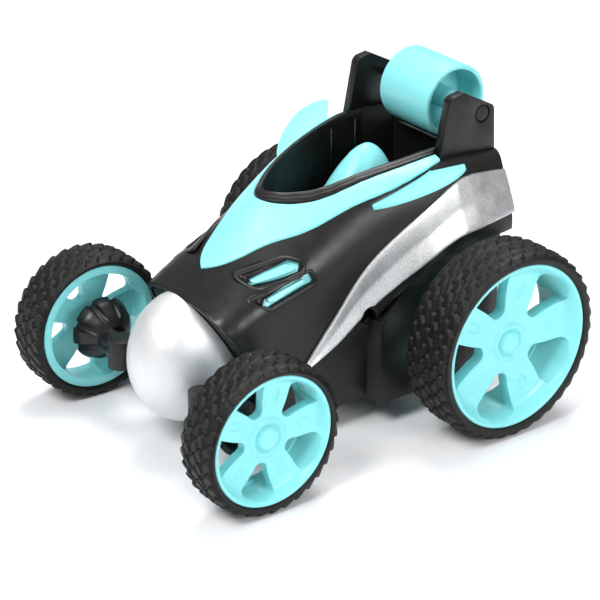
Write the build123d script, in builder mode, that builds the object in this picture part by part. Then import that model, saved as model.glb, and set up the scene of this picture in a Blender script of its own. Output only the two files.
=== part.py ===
from build123d import *
import os
from math import acos, atan2, cos, hypot, pi, radians, sin, tan

os.makedirs("parts", exist_ok=True)

# RC stunt car. Millimetres, +Z up, the nose points along -Y and the car's left side is +X.
# The origin is on the floor, midway along the length and the width.

# ---- driving dimensions ----
front_axle_y = -55.0
front_axle_z = 28.0
front_tyre_r = 28.0
front_lip_r = 23.8
front_inner_x = 46.1
front_outer_x = 61.6

rear_axle_y = 47.0
rear_axle_z = 36.0
rear_tyre_r = 36.0
rear_lip_r = 30.9
rear_inner_x = 48.6
rear_outer_x = 68.4

wall = 2.0
gap = 0.05
trim_gap = 0.16
floor_z = 10.0
seam_z = 30.0
chassis_front_y = -38.0
chassis_step_y = 11.5
chassis_rear_y = 66.0
chassis_front_x = 27.5
chassis_rear_x = 35.0

front_shaft_r = 1.5
rear_shaft_r = 2.0
running = 0.05

module = 0.6
pressure_angle = 25.0
pinion_teeth = 10
wheel_gear_teeth = 36
small_gear_teeth = 12
output_gear_teeth = 36
motor_y = 20.5
motor_z = 40.5

roller_y = 61.0
roller_z = 108.5
roller_r = 13.8
roller_half = 13.5
bracket_x = 24.0

screw_r = 1.3
screw_head_r = 2.5


def save(part, name):
    part.label = name
    export_step(part, f"parts/{name}.step")


def save_pair(part, name):
    """Write a left-hand (+X) piece and its mirror twin on the right."""
    save(part, name + "_left")
    with BuildPart() as twin:
        mirror(part, about=Plane.YZ)
    save(twin.part, name + "_right")


def side_plane(x):
    """A plane across the car at this X, whose own x is Y and whose own y is Z."""
    return Plane.YZ.offset(x)


def axle_plane(y, z):
    """A plane holding a cross-car axis: its own x is X and its own y is the radius."""
    return Plane(origin=(0, y, z), x_dir=(1, 0, 0), z_dir=(0, -1, 0))


def axle_axis(y, z):
    return Axis((0, y, z), (1, 0, 0))


# ---- body form: half sections from crest to lower edge, front to rear ----
body_stations = [
    (-56.0, [(0, 56), (9, 54.5), (17, 52), (22, 48), (23, 42), (23, 33)]),
    (-46.0, [(0, 61.5), (9, 60.5), (18, 58), (25, 52), (26.5, 44), (26.5, 32)]),
    (-33.0, [(0, 71), (9, 68.5), (18, 65), (25.5, 59), (28, 48), (28, 31)]),
    (-15.0, [(0, 86), (10, 81), (19, 75), (25.5, 68), (29, 52), (29, 31)]),
    (8.0, [(0, 93), (17.5, 90), (25, 84.5), (29, 77), (31, 60), (30.5, 40)]),
    (30.0, [(0, 96.5), (23, 94.6), (30, 91), (33.5, 84), (36, 74), (37.5, 60)]),
    (47.0, [(0, 97.5), (25, 96.2), (31.5, 93.5), (35, 88), (38.5, 77), (39.5, 64)]),
    (68.0, [(0, 94.5), (24, 94), (29.5, 93), (33, 87), (37.5, 77), (39, 66)]),
]


def moved_out(points, d):
    """Half-section points moved outward by d along the section's own normal."""
    out = []
    for i, (x, z) in enumerate(points):
        ax, az = points[max(i - 1, 0)]
        bx, bz = points[min(i + 1, len(points) - 1)]
        length = hypot(bx - ax, bz - az)
        nx, nz = -(bz - az) / length, (bx - ax) / length
        if i == 0:
            nx, nz = 0.0, 1.0
        out.append((x + nx * d, z + nz * d))
    return out


def half_section(y):
    """The half section at any Y, eased between the stations on either side of it."""
    last = len(body_stations) - 2
    i = min(max(k for k in range(last + 1) if k == 0 or body_stations[k][0] <= y), last)
    y0, y1 = body_stations[i][0], body_stations[i + 1][0]
    t = (y - y0) / (y1 - y0)
    points = []
    for k in range(len(body_stations[0][1])):
        point = []
        for c in (0, 1):
            value = [station[1][k][c] for station in body_stations]
            slope = []
            for j in (i, i + 1):
                before, after = max(j - 1, 0), min(j + 1, len(value) - 1)
                run = body_stations[after][0] - body_stations[before][0]
                slope.append((value[after] - value[before]) / run * (y1 - y0))
            ease = 3 * t**2 - 2 * t**3
            start, end = t**3 - 2 * t**2 + t, t**3 - t**2
            point.append(value[i] * (1 - ease) + value[i + 1] * ease + slope[0] * start + slope[1] * end)
        points.append(tuple(point))
    return points


def body_form(d, rear_y=68.0, lift=0.0):
    """The body's outer form, grown by d all round, with its lower edge raised by lift."""
    steps = 20
    front_y = body_stations[0][0]
    with BuildPart() as form:
        for i in range(steps + 1):
            y = front_y + (rear_y - front_y) * i / steps
            edge = moved_out(half_section(y), d)
            edge[-1] = (edge[-1][0], edge[-1][1] + lift)
            full = [(-x, z) for x, z in reversed(edge[1:])] + edge
            with BuildSketch(Plane.XZ.offset(-y)):
                with BuildLine():
                    skin = Spline(*full)
                    Line(skin @ 1, skin @ 0)
                make_face()
        loft(ruled=True)
    return form.part


body_outer = body_form(0.0)
body_inner = body_form(-wall, rear_y=68.0 - wall, lift=-6.0)
body_trim = body_form(1.0)
body_rim = body_form(1.6)
body_base = body_form(trim_gap)

# the nose opening leans back at its foot
nose_lean = 30.0
nose_cut = Plane(origin=(0, -52.0, 58.0), x_dir=(1, 0, 0),
                 z_dir=(0, -cos(radians(nose_lean)), -sin(radians(nose_lean))))


lip_rear_y = 64.0


def lip_sketch(grow):
    """The cockpit opening in plan, grown by this much."""
    half = [
        (0, -15.5 - grow), (9.5 + 0.8 * grow, -8.5 - 0.6 * grow), (14.5 + grow, -1 - 0.3 * grow),
        (19 + grow, 13), (22.8 + grow, 30), (24.2 + grow, 48),
    ]
    left = [(-x, y) for x, y in reversed(half[1:])]
    rear_y = lip_rear_y + min(grow, 1.5)
    with BuildSketch(Plane.XY) as plan:
        with BuildLine():
            edge = Spline(*(left + half))
            Polyline(edge @ 1, (24.2 + grow, rear_y), (-24.2 - grow, rear_y), edge @ 0)
        make_face()
    return plan.sketch


def prism(sketch, z0, z1):
    """An upright prism of this plan sketch between two heights."""
    with BuildPart() as solid:
        with BuildSketch(Plane.XY.offset(z0)):
            add(sketch)
        extrude(amount=z1 - z0)
    return solid.part


def both_sides(part):
    """This left-hand piece with its mirror twin."""
    with BuildPart() as pair:
        add(part)
        mirror(part, about=Plane.YZ)
    return pair.part


def tube_between(start, end, radius):
    """A round bar from one point to another."""
    with BuildPart() as bar:
        with BuildLine() as run:
            Line(start, end)
        with BuildSketch(Plane(origin=start, z_dir=run.line % 0)):
            Circle(radius)
        sweep()
    return bar.part


def hollow_post(x, y, z0, z1, outer_r, inner_r):
    """An upright screw post on each side of the car."""
    with BuildPart() as post:
        with BuildSketch(Plane.XY.offset(z0)):
            with Locations((x, y), (-x, y)):
                Circle(outer_r)
                Circle(inner_r, mode=Mode.SUBTRACT)
        extrude(amount=z1 - z0)
    return post.part


def side_prism(points, x0, x1, radius=0.0):
    """A prism across the car from x0 to x1 with this (y, z) outline."""
    with BuildPart() as solid:
        with BuildSketch(side_plane(x0)) as outline:
            with BuildLine():
                Polyline(*points, close=True)
            make_face()
            if radius:
                fillet(outline.vertices(), radius)
        extrude(amount=x1 - x0)
    return solid.part


# ---- winglet blade: lies in its own tilted plane, u along its root and v outward ----
winglet_plane = Plane(origin=(28.0, 12.0, 84.0), x_dir=(0.150, 0.931, 0.330), z_dir=(-0.159, -0.307, 0.938))
winglet_thick = 1.6


def winglet_blade(grow):
    with BuildPart() as blade:
        with BuildSketch(winglet_plane.offset(-winglet_thick / 2 - grow)):
            with BuildLine():
                fin = [(0, 0), (6.3, -5.2), (14.7, -9.1), (23.8, -11.1), (30.0, -10.4), (34.6, -8.0)]
                edge = Spline(*[(u + grow * (u - 18) / 18, v - grow) for u, v in fin])
                Polyline(edge @ 1, (35.4 + grow, -6.2), (26 + grow, 1.4 + grow), (26 + grow, 3 + grow),
                         (2 - grow, 3 + grow), edge @ 0)
            make_face()
        extrude(amount=winglet_thick + 2 * grow)
    return blade.part


# ---- side panel and vents, as (y, z) outlines on the flank ----
panel_upper = [(-17.5, 32.5), (-6, 47.5), (7, 64.5), (24, 78), (40, 87.5), (50, 90.3), (67.7, 88)]
panel_lower = [(67.7, 72.3), (50, 70.2), (38, 67.2), (21, 55.5), (5, 43.5), (-5, 36.5), (-16, 31.4)]


def panel_prism():
    """The side panel's outline swept across the left flank."""
    with BuildPart() as solid:
        with BuildSketch(side_plane(20)) as outline:
            with BuildLine():
                upper = Spline(*panel_upper)
                lower = Spline(*panel_lower)
                Line(upper @ 1, lower @ 0)
                Line(lower @ 1, upper @ 0)
            make_face()
        extrude(amount=40)
    return solid.part


vent_outlines = [
    [(-36.5, 65.6), (-20, 70.5), (-15.5, 69), (-17.5, 66), (-33, 63)],
    [(-37.5, 59.5), (-14, 66.5), (-13, 62.5), (-31, 57.0)],
]
vent_teeth = [
    [(-34.0, 64.8), (-20.3, 68.9), (-17.9, 68.1), (-19.3, 67.1), (-32.2, 64.0)],
    [(-33.2, 59.0), (-16.8, 63.9), (-16.2, 62.8), (-28.5, 58.7)],
]
side_hole_y = 9.0
side_hole_z = 44.0
side_hole_r = 3.0

# ---- upper shell ----
body_screw_x = 24.3
body_screws_at = ((-30.0, 27.3, 30.7), (3.0, 29.8, 39.8))
post_r = 2.6
with BuildPart() as upper_shell:
    add(body_outer)
    add(body_inner, mode=Mode.SUBTRACT)
    # posts that take the body screws, grown into the flank skin
    for y, rib_x, meet_z in body_screws_at:
        with BuildSketch(Plane.XY.offset(meet_z)):
            with Locations((body_screw_x, y), (-body_screw_x, y)):
                Circle(post_r)
            with Locations(((body_screw_x + rib_x) / 2, y), (-(body_screw_x + rib_x) / 2, y)):
                Rectangle(rib_x - body_screw_x, 1.6)
        extrude(amount=11)
    add(prism(lip_sketch(0.2), 60, 110), mode=Mode.SUBTRACT)
    # everything ahead of the leaning nose plane is open
    with BuildSketch(nose_cut):
        Rectangle(200, 200)
    extrude(amount=60, mode=Mode.SUBTRACT)
    # the rear deck is cut low between the brackets, so the roller clears it
    with Locations((0, 66, 90)):
        Box(42, 20, 20, align=(Align.CENTER, Align.CENTER, Align.MIN), mode=Mode.SUBTRACT)
    # slots for the winglets, vents and cable holes
    add(both_sides(winglet_blade(0.25)), mode=Mode.SUBTRACT)
    for outline in vent_outlines:
        add(both_sides(side_prism(outline, 12, 40, 0.8)), mode=Mode.SUBTRACT)
    with BuildSketch(side_plane(-50)):
        with Locations((side_hole_y, side_hole_z)):
            Circle(side_hole_r)
    extrude(amount=100, mode=Mode.SUBTRACT)
    for y, rib_x, meet_z in body_screws_at:
        with Locations((body_screw_x, y, meet_z), (-body_screw_x, y, meet_z)):
            Cylinder(screw_r, 18, mode=Mode.SUBTRACT)
save(upper_shell.part, "upper_shell")

# ---- lower chassis: floor pan with side walls that rise with the rear arches ----
rim_steps = (chassis_front_y, -20, -10, -2, 5, 11, 17, 23, 29, 35)
chassis_top = [(y, half_section(y)[-1][1] - 0.6) for y in rim_steps]
chassis_top += [(36, half_section(36)[-1][1] + 1.5), (47, 66.0), (chassis_rear_y, 64.5)]


def chassis_body(inset, foot_z, top_lift):
    """The pan's outer form moved in by inset, from foot_z up to its sloping rim."""
    with BuildPart() as body:
        with BuildSketch(Plane.XY.offset(foot_z)) as plan:
            front_len = chassis_step_y - chassis_front_y
            rear_len = chassis_rear_y - chassis_step_y
            with Locations((0, chassis_front_y + front_len / 2)):
                Rectangle(2 * (chassis_front_x - inset), front_len - 2 * inset)
            with Locations((0, chassis_step_y + rear_len / 2)):
                Rectangle(2 * (chassis_rear_x - inset), rear_len - 2 * inset)
            with Locations((0, chassis_step_y)):
                Rectangle(2 * (chassis_front_x - inset), 4 * inset + 1)
        extrude(amount=60)
        rim = [(y, z + top_lift) for y, z in chassis_top]
        add(side_prism(rim + [(chassis_rear_y, 0), (chassis_front_y, 0)], -60, 60), mode=Mode.INTERSECT)
    return body.part


cell_r = 7.1
cell_length = 50.0
cell_y = -34.5
cell_z = floor_z + 3.8 + cell_r
door_x = 22.6
door_y0 = -36.0
door_y1 = 22.5
ledge_top_z = floor_z + 3.2
door_thick = 1.6
axle_hole_r = 3.7
switch_y = 56.0
knuckle_plug_x = 22.5
knuckle_plug_z = 23.0
knuckle_plug_r = 2.5

with BuildPart() as lower_chassis:
    add(chassis_body(0, floor_z, 0))
    add(chassis_body(wall, floor_z + wall, 20), mode=Mode.SUBTRACT)
    # thicker ledge round the battery opening
    with BuildSketch(Plane.XY.offset(floor_z + wall)):
        with Locations((0, -6)):
            Rectangle(47, 60)
    extrude(amount=ledge_top_z - floor_z - wall)
    # bosses for the body screws
    for y, rib_x, meet_z in body_screws_at:
        add(hollow_post(body_screw_x, y, floor_z + wall, meet_z - 0.2, post_r, screw_r + 0.2))
        with Locations((body_screw_x, y, floor_z), (-body_screw_x, y, floor_z)):
            Cylinder(screw_head_r, 8, mode=Mode.SUBTRACT)
            Cylinder(screw_r + 0.2, 2 * (meet_z - floor_z + 1), mode=Mode.SUBTRACT)
    # battery bay's rear wall
    with Locations((0, 17.0, floor_z + wall)):
        Box(52, 1.2, 17, align=(Align.CENTER, Align.CENTER, Align.MIN))
    # battery opening, recessed for its door
    with BuildSketch(Plane.XY.offset(floor_z)):
        with Locations((0, (door_y0 + door_y1) / 2)):
            RectangleRounded(2 * door_x, door_y1 - door_y0, 2)
    extrude(amount=door_thick + 0.1, mode=Mode.SUBTRACT)
    with BuildSketch(Plane.XY.offset(floor_z)):
        with Locations((0, (door_y0 + door_y1) / 2 - 1.9)):
            Rectangle(2 * door_x - 4, door_y1 - door_y0 - 6.2)
    extrude(amount=3.3, mode=Mode.SUBTRACT)
    # boss for the battery door screw
    door_screw_y = door_y1 - 2.6
    with BuildSketch(Plane.XY.offset(floor_z + wall)):
        with Locations((0, door_screw_y)):
            Circle(2.2)
    extrude(amount=5)
    with Locations((0, door_screw_y, floor_z)):
        Cylinder(screw_r, 2 * (wall + 5), mode=Mode.SUBTRACT)
    # pocket and slot for the power switch
    with Locations((0, switch_y, floor_z)):
        Box(12, 7, 2 * 0.9, mode=Mode.SUBTRACT)
        Box(7, 3, 2 * (wall + 1), mode=Mode.SUBTRACT)
    # holes where the rear axles leave
    with BuildSketch(side_plane(-50)):
        with Locations((rear_axle_y, rear_axle_z)):
            Circle(axle_hole_r)
        with Locations((side_hole_y, side_hole_z)):
            Circle(side_hole_r)
    extrude(amount=100, mode=Mode.SUBTRACT)
    # sockets in the front wall for the front knuckles
    with BuildSketch(Plane.XZ.offset(-chassis_front_y + 5)):
        with Locations((knuckle_plug_x, knuckle_plug_z), (-knuckle_plug_x, knuckle_plug_z)):
            Circle(knuckle_plug_r + gap)
    extrude(amount=-9, mode=Mode.SUBTRACT)
save(lower_chassis.part, "lower_chassis")

# ---- nose ----
nose_centre = (0, -47.7, 33.7)
nose_radii = (18.6, 22.5, 24.7)


def nose_egg(grow):
    """The nose's egg form, a ball stretched along each axis, grown by this much."""
    rx, ry, rz = (r + grow for r in nose_radii)
    with BuildPart() as egg:
        with BuildSketch(Plane.XZ):
            with BuildLine():
                arc = ThreePointArc((0, -1), (1, 0), (0, 1))
                Line(arc @ 1, arc @ 0)
            make_face()
        revolve(axis=Axis.Z)
    stretched = scale(egg.part, by=(rx, ry, rz), mode=Mode.PRIVATE)
    return Pos(*nose_centre) * stretched


nose_back = nose_cut.offset(0.15)
nose_back_y = chassis_front_y - 0.6
with BuildPart() as nose_dome:
    add(nose_egg(0))
    add(nose_egg(-1.8), mode=Mode.SUBTRACT)
    with BuildSketch(nose_back):
        Rectangle(200, 200)
    extrude(amount=-80, mode=Mode.SUBTRACT)
    with BuildSketch(Plane.XZ.offset(-nose_back_y)):
        Rectangle(200, 200)
    extrude(amount=-80, mode=Mode.SUBTRACT)
save(nose_dome.part, "nose_dome")

bulkhead_thick = 2.6
with BuildPart() as nose_bulkhead:
    add(body_form(-wall - 0.7))
    with BuildSketch(nose_cut.offset(-0.3)):
        Rectangle(200, 200)
    extrude(amount=60, mode=Mode.SUBTRACT)
    with BuildSketch(nose_cut.offset(-0.3 - bulkhead_thick)):
        Rectangle(200, 200)
    extrude(amount=-150, mode=Mode.SUBTRACT)
    with Locations((0, 0, seam_z + 5)):
        Box(200, 200, 100, align=(Align.CENTER, Align.CENTER, Align.MAX), mode=Mode.SUBTRACT)
save(nose_bulkhead.part, "nose_bulkhead")

# ---- cockpit: tray, raised rim, panel lines and the driver's helmet ----
tub_floor_z = 68.5
with BuildPart() as cockpit_tub:
    add(prism(lip_sketch(0.1), tub_floor_z - 1.2, 110))
    add(body_rim, mode=Mode.INTERSECT)
    add(prism(lip_sketch(-1.4), tub_floor_z, 110), mode=Mode.SUBTRACT)
    with Locations((0, 66, 90)):
        Box(42, 20, 20, align=(Align.CENTER, Align.CENTER, Align.MIN), mode=Mode.SUBTRACT)
save(cockpit_tub.part, "cockpit_tub")

with BuildPart() as cockpit_rim:
    add(body_rim)
    add(body_base, mode=Mode.SUBTRACT)
    add(prism(lip_sketch(1.5), 75, 110), mode=Mode.INTERSECT)
    add(prism(lip_sketch(0.15), 70, 115), mode=Mode.SUBTRACT)
    with Locations((0, 41.5, 60)):
        Box(80, 60, 60, align=(Align.CENTER, Align.MIN, Align.MIN), mode=Mode.SUBTRACT)
save(cockpit_rim.part, "cockpit_rim")

helmet_centre = (0, 27.0, tub_floor_z + gap)
with BuildPart() as driver_helmet:
    Sphere(1)
helmet_full = scale(driver_helmet.part, by=(13.5, 19.0, 26.0), mode=Mode.PRIVATE)
helmet_void = scale(driver_helmet.part, by=(12.1, 17.6, 24.6), mode=Mode.PRIVATE)
with BuildPart() as cockpit_dome:
    add(Pos(*helmet_centre) * helmet_full)
    add(Pos(*helmet_centre) * helmet_void, mode=Mode.SUBTRACT)
    with Locations(helmet_centre):
        Box(80, 80, 60, align=(Align.CENTER, Align.CENTER, Align.MAX), mode=Mode.SUBTRACT)
save(cockpit_dome.part, "cockpit_dome")

# ---- teal hood trim: a V of skin that runs up both sides of the cockpit rim ----
trim_edge = [(0, -41.5), (4.5, -38.5), (13.0, -23.5), (18.2, -13.5), (24, 6), (27.8, 20), (28.6, 41.5)]
with BuildPart() as hood_trim:
    add(body_trim)
    add(body_base, mode=Mode.SUBTRACT)
    with BuildSketch(Plane.XY.offset(50)) as outline:
        with BuildLine():
            right = Spline(*trim_edge)
            left = Spline(*[(-x, y) for x, y in trim_edge])
            Line(right @ 1, left @ 1)
        make_face()
        add(lip_sketch(1.7), mode=Mode.SUBTRACT)
    extrude(amount=60, mode=Mode.INTERSECT)
    add(both_sides(winglet_blade(0.4)), mode=Mode.SUBTRACT)
save(hood_trim.part, "hood_trim")

with BuildPart() as winglet:
    add(winglet_blade(0))
save_pair(winglet.part, "winglet")

with BuildPart() as side_panel:
    add(body_trim)
    add(body_base, mode=Mode.SUBTRACT)
    add(panel_prism(), mode=Mode.INTERSECT)
    with BuildSketch(side_plane(20)):
        with Locations((side_hole_y, side_hole_z)):
            Circle(side_hole_r + 0.6)
    extrude(amount=40, mode=Mode.SUBTRACT)
save_pair(side_panel.part, "side_panel")

# teal vent louvres on a backing strip behind the flank skin
vent_strip = [(-38, 57), (-38, 67), (-20, 73.5), (-13, 71), (-11, 61), (-28, 54.5)]
vent_back = body_form(-wall - gap)
vent_back_inner = body_form(-wall - 1.2)
vent_front = body_form(-0.8)


def vent_layer(front, outline, radius):
    """The part of the vent that lies between this front form and its back, inside an outline."""
    with BuildPart() as layer:
        add(front)
        add(vent_back_inner, mode=Mode.SUBTRACT)
        add(side_prism(outline, 8, 40, radius), mode=Mode.INTERSECT)
    return layer.part


with BuildPart() as vent_insert:
    add(vent_layer(vent_back, vent_strip, 0.0))
    for outline in vent_teeth:
        add(vent_layer(vent_front, outline, 0.5))
save_pair(vent_insert.part, "vent_insert")

# ---- roller and its brackets ----
bracket_thick = 3.6
with BuildPart() as roller_bracket:
    with BuildSketch(side_plane(bracket_x - bracket_thick / 2 + 2.2)) as outline:
        with BuildLine():
            Polyline((41, 90.5), (46, 117.0), (52, 118.0), (66.5, 110.5), (67.6, 90.5), close=True)
        make_face()
        fillet(outline.vertices().sort_by(Axis.Y)[1:4], 3.0)
    extrude(amount=bracket_thick)
    add(body_form(gap, lift=-30.0), mode=Mode.SUBTRACT)
    # recess for the pin's head
    with BuildSketch(side_plane(bracket_x + 2.6)):
        with Locations((roller_y, roller_z)):
            Circle(3.4)
    extrude(amount=5, mode=Mode.SUBTRACT)
    with BuildSketch(side_plane(0)):
        with Locations((roller_y, roller_z)):
            Circle(front_shaft_r)
    extrude(amount=60, mode=Mode.SUBTRACT)
save_pair(roller_bracket.part, "roller_bracket")

with BuildPart() as roller_pin:
    with BuildSketch(side_plane(-27.9)):
        with Locations((roller_y, roller_z)):
            Circle(front_shaft_r)
    extrude(amount=55.8)
    for x in (-27.9, 26.65):
        with BuildSketch(side_plane(x)):
            with Locations((roller_y, roller_z)):
                Circle(2.8)
        extrude(amount=1.25)
save(roller_pin.part, "roller_pin")

with BuildPart() as roller:
    with BuildSketch(axle_plane(roller_y, roller_z)):
        with BuildLine():
            Polyline(
                (-roller_half, roller_r - 1.8), (-roller_half, roller_r - 0.6),
                (-roller_half + 0.6, roller_r), (roller_half - 0.6, roller_r),
                (roller_half, roller_r - 0.6), (roller_half, roller_r - 1.8),
                (1, roller_r - 2.2), (1, 4.2), (roller_half + 3, 3.8),
                (roller_half + 3, front_shaft_r + running),
                (-roller_half - 3, front_shaft_r + running), (-roller_half - 3, 3.8), (-1, 4.2),
                (-1, roller_r - 2.2), close=True,
            )
        make_face()
    revolve(axis=axle_axis(roller_y, roller_z))
save(roller.part, "roller")

# ---- wheels ----
spokes = 5
window_tilt = 41.0


def window_sketch(k, at):
    """One window between two spokes, centred on this bearing, scaled by k."""
    corners = [(10.0 * k, -9), (20.6 * k, -17.5), (21.4 * k, 0), (20.6 * k, 17.5), (10.0 * k, 9)]
    with BuildSketch() as window:
        with BuildLine():
            Polyline(
                *[(r * cos(at + radians(a)), r * sin(at + radians(a))) for r, a in corners],
                close=True,
            )
        make_face()
        fillet(window.vertices(), 1.4 * k)
    return window.sketch


def rim_part(y, z, inner_x, outer_x, lip_r, shaft_r, shaft_end_x):
    """A five-spoke rim: barrel, thin outer lip, recessed spoke plate and hub boss."""
    k = lip_r / front_lip_r
    barrel_r = lip_r - 1.4
    plate_out = outer_x - 3.0 * k
    plate_in = plate_out - 4.2 * k
    with BuildPart() as rim:
        with BuildSketch(axle_plane(y, z)):
            with BuildLine():
                Polyline(
                    (inner_x, barrel_r - 1.7), (inner_x, barrel_r + 1.2), (inner_x + 1.2, barrel_r + 1.2),
                    (inner_x + 1.2, barrel_r), (outer_x - 1.2, barrel_r), (outer_x - 1.2, lip_r),
                    (outer_x, lip_r), (outer_x, lip_r - 1.3), (plate_out, lip_r - 3.4 * k),
                    (plate_out, 0), (plate_in, 0), (plate_in, lip_r - 3.4 * k - 0.6), close=True,
                )
            make_face()
        revolve(axis=axle_axis(y, z))
        # windows between the spokes
        with BuildSketch(side_plane(plate_in - 5)):
            with Locations((y, z)):
                for i in range(spokes):
                    add(window_sketch(k, radians(window_tilt + 360 / spokes * i)))
        extrude(amount=plate_out - plate_in + 10, mode=Mode.SUBTRACT)
        # hub: boss behind the plate, raised ring and round cap in front
        with BuildSketch(axle_plane(y, z)):
            with BuildLine():
                Polyline(
                    (shaft_end_x - 8 * k, 0), (shaft_end_x - 8 * k, 3.6), (plate_in, 4.6),
                    (plate_out, 6.8 * k), (plate_out + 0.5, 6.6 * k), (plate_out + 0.5, 5.2 * k),
                    (plate_out + 0.2, 5.0 * k), (plate_out + 0.2, 4.6 * k), (plate_out + 1.2 * k, 4.2 * k),
                    (plate_out + 1.6 * k, 3.2 * k), (plate_out + 1.6 * k, 0), close=True,
                )
            make_face()
        revolve(axis=axle_axis(y, z))
        # blind bore for the shaft
        with BuildSketch(side_plane(inner_x - 20)):
            with Locations((y, z)):
                Circle(shaft_r)
        extrude(amount=shaft_end_x - inner_x + 20, mode=Mode.SUBTRACT)
    return rim.part


def tyre_part(y, z, inner_x, outer_x, lip_r, tyre_r):
    """A plain closed tyre ring that grips the barrel between the rim's flanges."""
    barrel_r = lip_r - 1.4
    x0, x1 = inner_x + 1.25, outer_x - 1.25
    bead = lip_r + 0.1
    with BuildPart() as tyre:
        with BuildSketch(axle_plane(y, z)) as profile:
            with BuildLine():
                Polyline(
                    (x0, barrel_r + gap), (x0, bead), (inner_x - 0.8, bead + 0.5),
                    (inner_x - 0.8, tyre_r - 2.2),
                    (inner_x + 1.4, tyre_r), (outer_x - 1.2, tyre_r), (outer_x + 0.6, tyre_r - 2.2),
                    (outer_x + 0.6, bead + 0.5), (x1, bead), (x1, barrel_r + gap), close=True,
                )
            make_face()
        revolve(axis=axle_axis(y, z))
    return tyre.part


front_shaft_end = 56.0
front_rim = rim_part(
    front_axle_y, front_axle_z, front_inner_x, front_outer_x, front_lip_r, front_shaft_r, front_shaft_end)
save_pair(front_rim, "front_rim")
front_tyre = tyre_part(
    front_axle_y, front_axle_z, front_inner_x, front_outer_x, front_lip_r, front_tyre_r)
save_pair(front_tyre, "front_tyre")
rear_shaft_end = 61.0
rear_rim = rim_part(
    rear_axle_y, rear_axle_z, rear_inner_x, rear_outer_x, rear_lip_r, rear_shaft_r, rear_shaft_end)
save_pair(rear_rim, "rear_rim")
rear_tyre = tyre_part(rear_axle_y, rear_axle_z, rear_inner_x, rear_outer_x, rear_lip_r, rear_tyre_r)
save_pair(rear_tyre, "rear_tyre")

# ---- front knuckles and stub shafts ----
bell_r = 12.0
bell_outer_x = 45.4
bell_inner_x = 35.0
with BuildPart() as front_knuckle:
    with BuildSketch(axle_plane(front_axle_y, front_axle_z)):
        with BuildLine():
            Polyline(
                (bell_inner_x, 0), (bell_inner_x, 4.2), (38, 7.5), (42, 10.8), (bell_outer_x, bell_r),
                (bell_outer_x, bell_r - 2), (41.5, 7), (41.5, 0), close=True,
            )
        make_face()
    revolve(axis=axle_axis(front_axle_y, front_axle_z))
    # shallow flutes round the bell
    for i in range(8):
        turn = radians(22.5 + 45 * i)
        foot = (bell_inner_x - 1, front_axle_y + 6.6 * cos(turn), front_axle_z + 6.6 * sin(turn))
        head = (bell_outer_x + 1, front_axle_y + 13.2 * cos(turn), front_axle_z + 13.2 * sin(turn))
        add(tube_between(foot, head, 1.6), mode=Mode.SUBTRACT)
    # arm: a stout bar past the nose's flank to an elbow, then back to the chassis wall
    elbow = (25.5, front_axle_y - 4.0, front_axle_z - 0.5)
    add(tube_between((39, front_axle_y - 1.5, front_axle_z - 1), elbow, 4.6))
    with Locations(elbow):
        Cylinder(5.0, 11.0)
    add(tube_between(elbow, (knuckle_plug_x + 0.6, chassis_front_y - 0.05, knuckle_plug_z), 3.6))
    # only the plug passes the chassis wall
    with Locations((0, chassis_front_y - gap, knuckle_plug_z)):
        Box(120, 30, 30, align=(Align.CENTER, Align.MIN, Align.CENTER), mode=Mode.SUBTRACT)
    add(tube_between((knuckle_plug_x, chassis_front_y - 2, knuckle_plug_z),
                     (knuckle_plug_x, chassis_front_y + 2.4, knuckle_plug_z), knuckle_plug_r))
    with BuildSketch(side_plane(30)):
        with Locations((front_axle_y, front_axle_z)):
            Circle(front_shaft_r + running)
    extrude(amount=30, mode=Mode.SUBTRACT)
    with BuildSketch(side_plane(29)):
        with Locations((front_axle_y, front_axle_z)):
            Circle(3.2)
    extrude(amount=bell_inner_x - 28, mode=Mode.SUBTRACT)
save_pair(front_knuckle.part, "front_knuckle")

with BuildPart() as front_axle:
    with BuildSketch(side_plane(34.0)):
        with Locations((front_axle_y, front_axle_z)):
            Circle(front_shaft_r)
    extrude(amount=front_shaft_end - 34.0)
    with BuildSketch(side_plane(34.0)):
        with Locations((front_axle_y, front_axle_z)):
            Circle(2.4)
    extrude(amount=1.5)
save_pair(front_axle.part, "front_axle")

# ---- gear train: motor pinion, compound gear, output gear on each rear axle ----
pinion_x = (29.1, 31.3)
output_x = (25.8, 28.7)
gearbox_x = (23.9, 25.3)
cover_x = (31.9, 32.9)
motor_x = (0.9, 23.8)
motor_r = 10.0
motor_shaft_r = 1.0
compound_pin_r = 1.0
backlash = 0.14
addendum = 0.8 * module
dedendum = 1.15 * module
pitch = module / 2

output_to_small = pitch * (output_gear_teeth + small_gear_teeth)
wheel_to_pinion = pitch * (wheel_gear_teeth + pinion_teeth)
motor_from_output = hypot(motor_y - rear_axle_y, motor_z - rear_axle_z)
rise = acos((output_to_small**2 + motor_from_output**2 - wheel_to_pinion**2)
            / (2 * output_to_small * motor_from_output))
small_bearing = atan2(motor_z - rear_axle_z, motor_y - rear_axle_y) - rise
compound_y = rear_axle_y + output_to_small * cos(small_bearing)
compound_z = rear_axle_z + output_to_small * sin(small_bearing)
pinion_bearing = atan2(motor_z - compound_z, motor_y - compound_y)


def involute(angle):
    return tan(angle) - angle


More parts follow.
